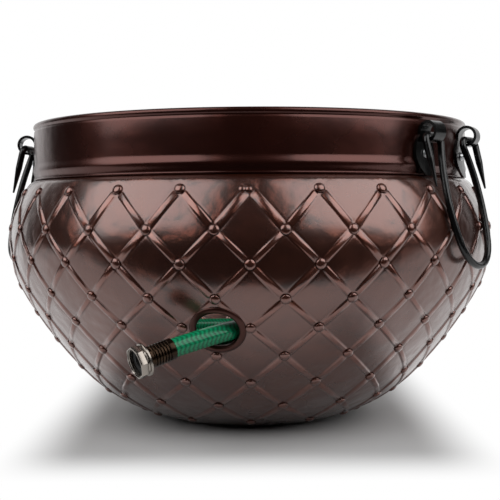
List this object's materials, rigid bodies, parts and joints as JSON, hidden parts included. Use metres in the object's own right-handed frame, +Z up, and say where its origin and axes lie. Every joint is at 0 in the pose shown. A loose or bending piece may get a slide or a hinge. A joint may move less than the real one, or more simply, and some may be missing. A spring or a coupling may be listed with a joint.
{
  "type": "garden hose pot",
  "caption": "Wide round sheet-metal pot that holds a coiled garden hose, with a rolled rim, an outlet low in the wall and bail handles in bolted hooks.",
  "frame": {"origin": "centre of the flat base, on the floor, where the drain hole is", "axes": "+Z up; the outlet and the hose's free end face -Y, toward the viewer of the picture"},
  "size_m": [0.5862, 0.604, 0.3479],
  "materials": {
    "copper_paint": "semi-gloss copper-bronze coat",
    "bare_steel": "zinc plated",
    "black_iron": "satin black",
    "green_hose": "glossy, reinforced",
    "dark_ferrule": "dark bronze anodised",
    "nickel": "bright machined",
    "rubber": "matte"
  },
  "bodies": {
    "pot": {"bowl": "copper_paint", "neck_band": "copper_paint", "rim_wire": "bare_steel", "outlet_grommet": "copper_paint", "hook_right_front": "black_iron", "hook_right_rear": "black_iron", "hook_left_front": "black_iron", "hook_left_rear": "black_iron", "hook_bolts": "black_iron", "hook_washers": "bare_steel", "hook_nuts": "bare_steel", "hose_lead": "green_hose", "hose_coil": "green_hose", "hose_ferrule": "dark_ferrule", "tailpiece": "nickel", "coupling_washer": "rubber", "inner_ferrule": "dark_ferrule", "male_coupling": "nickel"},
    "bail_right": {"bail_right": "black_iron"},
    "bail_left": {"bail_left": "black_iron"},
    "swivel_nut": {"swivel_nut": "nickel"}
  },
  "joints": [
    {"name": "bail_right_hinge", "type": "hinge", "parent": "pot", "child": "bail_right", "pos_m": [0.21638, -0.15264, 0.32312], "axis": [-0.5764, -0.8171, 0], "range_deg": [0, 175]},
    {"name": "bail_left_hinge", "type": "hinge", "parent": "pot", "child": "bail_left", "pos_m": [-0.26153, 0.04142, 0.32312], "axis": [0.1564, 0.9877, 0], "range_deg": [0, 175]},
    {"name": "swivel_nut_turn", "type": "hinge", "parent": "pot", "child": "swivel_nut", "pos_m": [-0.10401, -0.30112, 0.10469], "axis": [-0.8308, -0.4797, -0.2823], "continuous": true}
  ]
}
